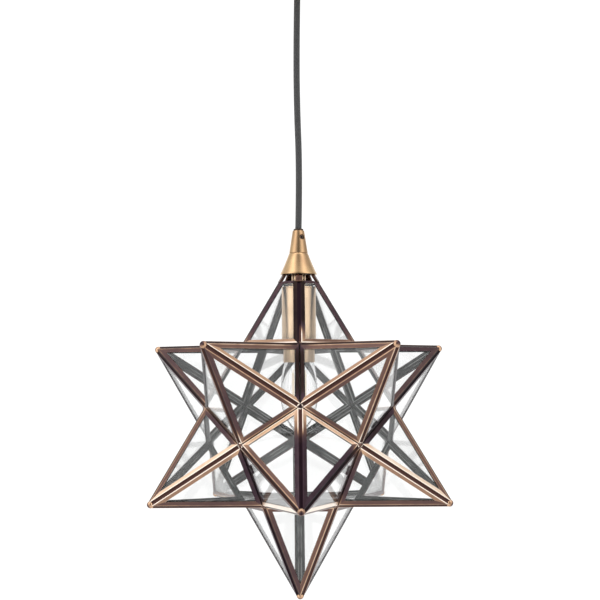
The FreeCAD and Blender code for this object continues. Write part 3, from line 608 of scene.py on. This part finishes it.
def spikeFrame(name, spike, neighbours, body, ridge, base, extra=()):
    matrix = spikeMatrix(spike, neighbours)
    bm = startCame()
    # each strip's tone carries painted highlight and painted shade as well as patina
    ridgeTones, baseTones = patinaAndPaintedLightTones.get(name, patinaAndPaintedLightTones["others"])
    for k in range(sides):
        turn = matrix @ Matrix.Rotation(math.radians(sector * k), 4, "Z")
        merged(bm, ridge, turn, ridgeTones[k], (corner,))
        merged(bm, base, turn, (baseTones[k], baseTones[k], baseTones[k] + cameShape["baseJointLift"]),
               (corner, nextCorner))
        for piece in extra:
            merged(bm, piece, turn, (cameShape["ringTone"],) * 2)
    words = name.split("_")
    pieceName = words[0] + "".join(w.capitalize() for w in words[1:]) + "Came"
    place(bm, pieceName, body, came, [name + "_frame"])


upperNames = {0: "front_right_upper", 1: "right_upper", 3: "left_upper", 4: "front_left_upper"}
lowerNames = {0: "front_lower", 1: "right_lower", 2: "rear_right_lower", 3: "rear_left_lower",
              4: "left_lower"}
spikes = [(name, ("upper", k), (("lower", k), ("lower", (k + 1) % sides))) for k, name in upperNames.items()]
spikes += [(name, ("lower", k), (("upper", k), ("upper", (k - 1) % sides))) for k, name in lowerNames.items()]
spikes.append(("bottom", "bottom", (("lower", 0), ("lower", 1))))
topNeighbours = (("upper", 4), ("upper", 0))
doorNeighbours = (("lower", 2), ("lower", 3))
doorSpike = ("upper", 2)


def makeStarFrame():
    ridge = ridgeCame(cameShape["topCut"], cameShape["gap"])
    base = baseCame(cameShape["gap"])
    bead = tipBead()
    beads = startCame()
    for name, spike, neighbours in spikes:
        spikeFrame(name, spike, neighbours, "pendant", ridge, base)
        merged(beads, bead, spikeMatrix(spike, neighbours), cameShape["beadSolderAndPaintedLightTones"], (tip,))
    place(beads, "tipSolderBeads", "pendant", came, ["tip_beads"])
    topRidge = ridgeCame(cameShape["ringBelowTip"], cameShape["gap"])
    spikeFrame("top", "top", topNeighbours, "pendant", topRidge, base, [ringCame()])
    doorRidge = ridgeCame(cameShape["topCut"], cameShape["doorGap"])
    spikeFrame("door", doorSpike, doorNeighbours, "door", doorRidge, baseCame(cameShape["doorGap"]))
    doorBead = startCame()
    merged(doorBead, bead, spikeMatrix(doorSpike, doorNeighbours), cameShape["beadSolderAndPaintedLightTones"], (tip,))
    place(doorBead, "doorTipBead", "door", came)


makeStarFrame()
print("star cames made")


topLeg = {"lowBelowTip": 30.0, "highBelowTip": 21.3, "width": 6.4, "depth": 2.6, "rounding": 0.9}


def makeTopLegs():
    matrix = spikeMatrix("top", topNeighbours)
    bm = bmesh.new()
    for k in range(sides):
        foot = polar(cornerRadius, sector * k)
        way = tip - foot
        low = foot + way * (1 - topLeg["lowBelowTip"] / tipHeight)
        high = foot + way * (1 - topLeg["highBelowTip"] / tipHeight)
        made = bmesh.ops.create_cube(bm, size=1.0)["verts"]
        bmesh.ops.scale(bm, vec=(topLeg["depth"], topLeg["width"], (high - low).length), verts=made)
        longEdges = {e for v in made for e in v.link_edges if abs((e.verts[0].co - e.verts[1].co).z) > 1}
        lean = Matrix.Rotation(-math.atan2(cornerRadius, tipHeight), 4, "Y")
        turn = Matrix.Rotation(math.radians(sector * k), 4, "Z")
        bmesh.ops.transform(bm, matrix=Matrix.Translation((low + high) / 2) @ turn @ lean, verts=made)
        bmesh.ops.bevel(bm, geom=list(longEdges), affect="EDGES", offset=topLeg["rounding"],
                        offset_type="OFFSET", segments=3, profile=0.5, material=-1)
    bmesh.ops.transform(bm, matrix=matrix, verts=bm.verts)
    place(bm, "topLegRods", "pendant", barePost, ["top_legs"])


makeTopLegs()


solder = {"size": (1.9, 1.7, 0.8), "rise": 0.7, "tone": 0.40, "darkTone": 0.12}


def makeSolderJoints():
    # a small solder puddle where three spikes meet, but none round the door. The two at the front are dark
    upper = [tips["upper", k] for k in range(sides)]
    lower = [tips["lower", k] for k in range(sides)]
    meeting = []
    for k in range(sides):
        m = (k + 1) % sides
        plain = solder["tone"]
        front = solder["darkTone"] if k == 4 else plain
        meeting += [((tips["top"], upper[k], upper[m]), front, k in (1, 2)),
                    ((upper[k], upper[m], lower[m]), front, k in (1, 2)),
                    ((lower[k], lower[m], upper[k]), plain, k == 2),
                    ((tips["bottom"], lower[k], lower[m]), plain, False)]
    bm = startCame()
    across, tone = [bm.verts.layers.float.get(n) for n in ("across", "tone")]
    distance = math.hypot(faceDepth, cornerRadius) + solder["rise"]
    for three, shade, atDoor in meeting:
        if atDoor:
            continue
        out = sum(three, Vector()).normalized()
        turn = out.to_track_quat("Z", "Y").to_matrix().to_4x4()
        matrix = Matrix.Translation(out * distance + Vector((0, 0, star["height"]))) @ turn
        made = bmesh.ops.create_icosphere(bm, subdivisions=3, radius=1.0)["verts"]
        for vert in made:
            vert[across], vert[tone] = cameShape["flangeAcross"], shade
        bmesh.ops.scale(bm, vec=solder["size"], verts=made)
        bmesh.ops.transform(bm, matrix=matrix, verts=made)
    place(bm, "valleySolder", "pendant", came)


makeSolderJoints()
print("solder made")


# cone, disc and spacer

cone = {"top": -288.6, "seam": -309.6, "rim": -329.4, "topRadius": 5.4, "seamRadius": 8.75, "rimRadius": 17.2,
        "sag": 0.3, "wall": 1.2, "floor": 1.6, "floorRadius": 8.2, "cordHole": 3.15, "nippleHole": 5.05,
        "nippleTop": -301.6, "groove": 0.35, "screwAngle": -59.0, "screwDrop": 6.1, "screwHole": 2.5,
        "screwReach": (3.3, 20.0)}
ferrule = {"radius": 4.5, "height": 1.6}
disc = {"top": -328.0, "bottom": -329.2, "topRadius": 15.55, "bottomRadius": 15.8}
spacer = {"radius": 6.6, "heights": [(-329.2, -336.6), (-311.2, -328.0)]}


def cutBy(piece, cutter):
    # takes the cutter out of the piece, for good
    change = piece.modifiers.new("hole", "BOOLEAN")
    change.object = cutter
    change.operation = "DIFFERENCE"
    change.solver = "EXACT"
    bpy.context.view_layer.update()
    result = bpy.data.meshes.new_from_object(piece.evaluated_get(bpy.context.evaluated_depsgraph_get()))
    piece.modifiers.clear()
    piece.data = result
    mesh = cutter.data
    bpy.data.objects.remove(cutter)
    bpy.data.meshes.remove(mesh)


def makeUpperCone():
    top, seam, groove = cone["top"], cone["seam"], cone["groove"]
    bm = lathe([(cone["cordHole"], top), (cone["topRadius"], top), (cone["seamRadius"] - 0.12, seam + groove),
                (cone["seamRadius"] - groove, seam), (cone["nippleHole"], seam),
                (cone["nippleHole"], cone["nippleTop"]), (cone["cordHole"], cone["nippleTop"])], 96, 0.22)
    piece = place(bm, "upperBrassCone", "pendant", coneBrass, ["upper_cone"])
    hole = bmesh.new()
    start, end = [polar(reach, cone["screwAngle"], top - cone["screwDrop"]) for reach in cone["screwReach"]]
    roundBar(hole, start, end, cone["screwHole"])
    bmesh.ops.scale(hole, vec=(metresPerMm,) * 3, verts=hole.verts)
    mesh = bpy.data.meshes.new("screwHole")
    hole.to_mesh(mesh)
    hole.free()
    cutter = bpy.data.objects.new("screwHole", mesh)
    bpy.context.scene.collection.objects.link(cutter)
    cutBy(piece, cutter)


def makeLowerCone():
    top, rim = cone["seam"], cone["rim"]
    outer = []
    for step in range(13):
        t = step / 12
        straight = cone["seamRadius"] + (cone["rimRadius"] - cone["seamRadius"]) * t
        outer.append((straight - cone["sag"] * 4 * t * (1 - t), top + (rim - top) * t))
    inner = [(r - cone["wall"], z) for r, z in reversed(outer[2:])]
    floor = top - cone["floor"]
    profile = [(cone["nippleHole"], top), (cone["seamRadius"] - 0.3, top)]
    profile += [(cone["seamRadius"], top - 0.3)] + outer[1:] + inner
    profile += [(cone["floorRadius"], floor), (cone["nippleHole"], floor)]
    bm = lathe(profile, 96, 0.2)
    place(bm, "lowerBrassCone", "pendant", coneBrass, ["lower_cone"])


def sleeveProfile(inner, outer, high, low):
    return [(inner, high), (outer, high), (outer, low), (inner, low)]


def makeConeTrims():
    top, bore = cone["top"], cone["nippleHole"]
    bm = lathe(sleeveProfile(cone["cordHole"], ferrule["radius"], top + ferrule["height"], top), 64, 0.35, 3)
    place(bm, "cordFerrule", "pendant", bronze, ["cord_ferrule"])
    bm = lathe([(bore, disc["top"]), (disc["topRadius"], disc["top"]), (disc["bottomRadius"], disc["bottom"]),
                (bore, disc["bottom"])], 96, 0.2)
    place(bm, "starDisc", "pendant", bronze, ["star_disc"])
    lower, upper = [lathe(sleeveProfile(bore, spacer["radius"], high, low), 64, 0.3, 2)
                    for high, low in spacer["heights"]]
    mesh = bpy.data.meshes.new("upperSpacer")
    upper.to_mesh(mesh)
    upper.free()
    lower.from_mesh(mesh)
    bpy.data.meshes.remove(mesh)
    place(lower, "spacerTubes", "pendant", brass, ["spacer_tubes"])


makeUpperCone()
makeLowerCone()
makeConeTrims()
print("cone made")


# lamp holder

holder = {"top": -336.6, "neckRadius": 9.0, "neckBottom": -341.6, "radius": 15.1, "flangeBottom": -343.2,
          "bottom": -411.2, "wall": 0.8, "play": 0.1, "skirt": -348.2, "bore": 5.05}


def makeHolder():
    r, w = holder["radius"], holder["wall"]
    inner = r - w - holder["play"]
    bm = lathe([(holder["bore"], holder["top"]), (holder["neckRadius"], holder["top"]),
                (holder["neckRadius"], holder["neckBottom"]), (r, holder["neckBottom"]),
                (r, holder["flangeBottom"]), (inner, holder["flangeBottom"]), (inner, holder["skirt"]),
                (inner - w, holder["skirt"]), (inner - w, holder["flangeBottom"]),
                (holder["bore"], holder["flangeBottom"])], 96, 0.35, 3)
    place(bm, "holderCap", "pendant", brass, ["holder_cap"])
    bm = lathe(sleeveProfile(r - w, r, holder["flangeBottom"], holder["bottom"]), 96, 0.25, 2)
    place(bm, "holderSleeve", "pendant", brass, ["holder_sleeve"])


makeHolder()
print("lamp holder made")


# bulb

# the outline gives shares of the radius and of the length, from neck to tip
bulb = {"top": -401.2, "bottom": -476.2, "radius": 17.3, "neck": 8.2, "wall": 0.4, "curveSteps": 6,
        "outline": [(0.72, 0.915), (0.88, 0.81), (1.0, 0.59), (0.94, 0.34), (0.57, 0.125), (0.24, 0.02)],
        "filamentSpread": 6.3, "filamentTop": -421.2, "filamentLength": 32.0, "filamentRadius": 1.1,
        "leadRise": 2.5, "leadRadius": 0.35, "stemRadius": 2.9}


def bulbCurve(shrink):
    # a smooth curve through the points of the outline
    length = bulb["top"] - bulb["bottom"]
    points = [(bulb["neck"] - shrink, bulb["top"])]
    points += [(bulb["radius"] * w - shrink, bulb["bottom"] + length * h) for w, h in bulb["outline"]]
    points.append((0.0, bulb["bottom"] + shrink))
    ends = [points[0]] + points + [(-points[-2][0], points[-2][1])]
    curve = []
    for k in range(1, len(ends) - 2):
        p0, p1, p2, p3 = [Vector(p) for p in ends[k - 1:k + 3]]
        for step in range(bulb["curveSteps"]):
            t = step / bulb["curveSteps"]
            curve.append(0.5 * (2 * p1 + (p2 - p0) * t + (2 * p0 - 5 * p1 + 4 * p2 - p3) * t * t +
                                (3 * p1 - p0 - 3 * p2 + p3) * t ** 3))
    curve.append(Vector(points[-1]))
    return [(max(0.0, p.x), p.y) for p in curve]


def makeBulb():
    outer = bulbCurve(0)
    inner = bulbCurve(bulb["wall"])
    bm = lathe(outer + inner[::-1], 72)
    place(bm, "candleBulbGlass", "bulb", bulbGlass, ["bulb_glass"], 60)
    bm = bmesh.new()
    for angle in (0, 90, 180, 270):
        high = polar(bulb["filamentSpread"], angle, bulb["filamentTop"])
        roundBar(bm, high - Vector((0, 0, bulb["filamentLength"])), high, bulb["filamentRadius"], 16)
        bend = high + Vector((0, 0, bulb["leadRise"]))
        roundBar(bm, high, bend, bulb["leadRadius"], 10)
        roundBar(bm, bend, polar(bulb["stemRadius"], angle, bend.z), bulb["leadRadius"], 10)
    place(bm, "bulbFilamentSticks", "bulb", filamentCoatPaintedGlow, ["bulb_filaments"])


makeBulb()
print("bulb made")


# canopy

canopy = {"radius": 50.0, "height": 55.0, "wall": 1.2, "corner": 14.0, "gripHole": 5.05}


def canopyCorner(bend, angles):
    r, h, c = canopy["radius"], canopy["height"], canopy["corner"]
    turns = [math.radians(a) for a in angles]
    return [(r - c + bend * math.sin(turn), -h + c - bend * math.cos(turn)) for turn in turns]


def makeCanopy():
    r, h, w, c = canopy["radius"], canopy["height"], canopy["wall"], canopy["corner"]
    outer = [(canopy["gripHole"], -h)] + canopyCorner(c, range(0, 91, 9)) + [(r, 0)]
    inner = [(r - w, 0)] + canopyCorner(c - w, range(90, -1, -9)) + [(canopy["gripHole"], -h + w)]
    bm = lathe(outer + inner, 128)
    place(bm, "canopyCup", "pendant", brass, ["canopy_cup"], 40)


makeCanopy()
print("canopy made")


# the solids that stay get their own finishes

kept = {
    "canopy_screws": brass, "cord_grip": brass, "threaded_nipple": brass, "cone_set_screw": bronze,
    "ceiling_bracket": steel, "grip_nut": steel, "holder_lock_nut": steel, "terminal_block": terminalPlastic,
    "cord_upper_tail": coreSleeve, "cord_lower_tail": coreSleeve, "holder_body": ceramic,
    "holder_shell": nickel, "bulb_cap": nickel, "holder_contact": nickel, "holder_terminals": nickel,
    "bulb_contact": nickel, "bulb_insulator": blackGlass, "bulb_stem": bulbGlass,
    "hinge_frame_knuckles": barePost, "hinge_door_knuckles": barePost, "hinge_pin": barePost,
}
for name, material in kept.items():
    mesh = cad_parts[name].data
    mesh.materials.clear()
    mesh.materials.append(material)
for name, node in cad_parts.items():
    if name.endswith("_panes"):
        node.data.materials.clear()
        node.data.materials.append(paneGlass)
print("kept solids finished")


# floor and light

# the sky's light by height, by depth from the camera's side to the rear, and by azimuth. Two tall soft boxes
# stand left and right of the camera, and half is no change there
studio = {"floorHeight": -2.3, "floorRadius": 5.0, "sky": 1.0, "backdrop": 1.12,
          "byHeight": [(0.0, (0.55, 0.55, 0.56)), (0.30, (0.94, 0.94, 0.94)), (0.48, (1.12, 1.12, 1.12)),
                       (1.0, (1.25, 1.25, 1.25))],
          "byDepth": [(0.0, 0.16), (0.15, 0.22), (0.32, 0.85), (0.5, 0.95), (0.7, 0.70), (0.82, 0.75),
                      (0.92, 1.10), (1.0, 1.15)],
          "overhead": {"place": (0.1, -0.2, 1.3), "aim": (0, 0, -0.45), "size": 1.0, "watts": 2},
          "softBoxes": [(0.0, 0.55), (0.04, 1.1), (0.09, 1.95), (0.133, 1.8), (0.17, 1.1), (0.206, 0.65),
                        (0.25, 0.47), (0.278, 0.52), (0.311, 0.9), (0.35, 1.6), (0.39, 1.9), (0.433, 1.3),
                        (0.478, 0.45), (0.53, 0.28), (0.60, 0.34), (0.66, 0.5), (1.0, 0.5)]}


def makeFloor():
    bm = bmesh.new()
    bmesh.ops.create_circle(bm, cap_ends=True, segments=96, radius=studio["floorRadius"])
    bmesh.ops.translate(bm, vec=(0, 0, studio["floorHeight"]), verts=bm.verts)
    mesh = bpy.data.meshes.new("studioFloor")
    bm.to_mesh(mesh)
    bm.free()
    mesh.materials.append(makePlain("palePaper", (0.92, 0.92, 0.915), (0.91, 0.91, 0.905), 0.7, 12, 0.02))
    floor = bpy.data.objects.new("studioFloor", mesh)
    bpy.context.scene.collection.objects.link(floor)


def makeWorld():
    world = bpy.data.worlds.new("studioSky")
    bpy.context.scene.world = world
    world.use_nodes = True
    tree = world.node_tree
    back = tree.nodes["Background"]
    where = addNode(tree, "ShaderNodeTexCoord").outputs["Generated"]
    parts = addNode(tree, "ShaderNodeSeparateXYZ", {"Vector": where})
    height = ramp(tree, fromRange(tree, parts.outputs[2], -1.0, 1.0), studio["byHeight"])
    depth = greyRamp(tree, fromRange(tree, parts.outputs[1], -1.0, 1.0), studio["byDepth"])
    around = addNode(tree, "ShaderNodeTexGradient", {"Vector": where}, gradient_type="RADIAL").outputs["Fac"]
    boxes = greyRamp(tree, around, studio["softBoxes"])
    lifted = mixed(tree, 1.0, depth, boxes, "ADD")
    lifted = mixed(tree, 1.0, lifted, (0.5, 0.5, 0.5), "SUBTRACT")
    light = mixed(tree, 1.0, height, lifted, "MULTIPLY")
    # the backdrop itself is even and pale from every side, seen straight or through the glass
    path = addNode(tree, "ShaderNodeLightPath")
    unturned = maths(tree, "LESS_THAN", path.outputs["Glossy Depth"], 0.5)
    through = maths(tree, "MULTIPLY", path.outputs["Is Transmission Ray"], unturned)
    seen = maths(tree, "MAXIMUM", path.outputs["Is Camera Ray"], through)
    tree.links.new(mixed(tree, seen, light, (studio["backdrop"],) * 3), back.inputs["Color"])
    back.inputs["Strength"].default_value = studio["sky"]


def makeOverheadLight():
    box = studio["overhead"]
    data = bpy.data.lights.new("overheadBox", "AREA")
    data.energy = box["watts"]
    data.size = box["size"]
    light = bpy.data.objects.new("overheadBox", data)
    light.location = box["place"]
    light.rotation_euler = (Vector(box["aim"]) - Vector(box["place"])).to_track_quat("-Z", "Y").to_euler()
    bpy.context.scene.collection.objects.link(light)


makeFloor()
makeWorld()
makeOverheadLight()
print("studio made")
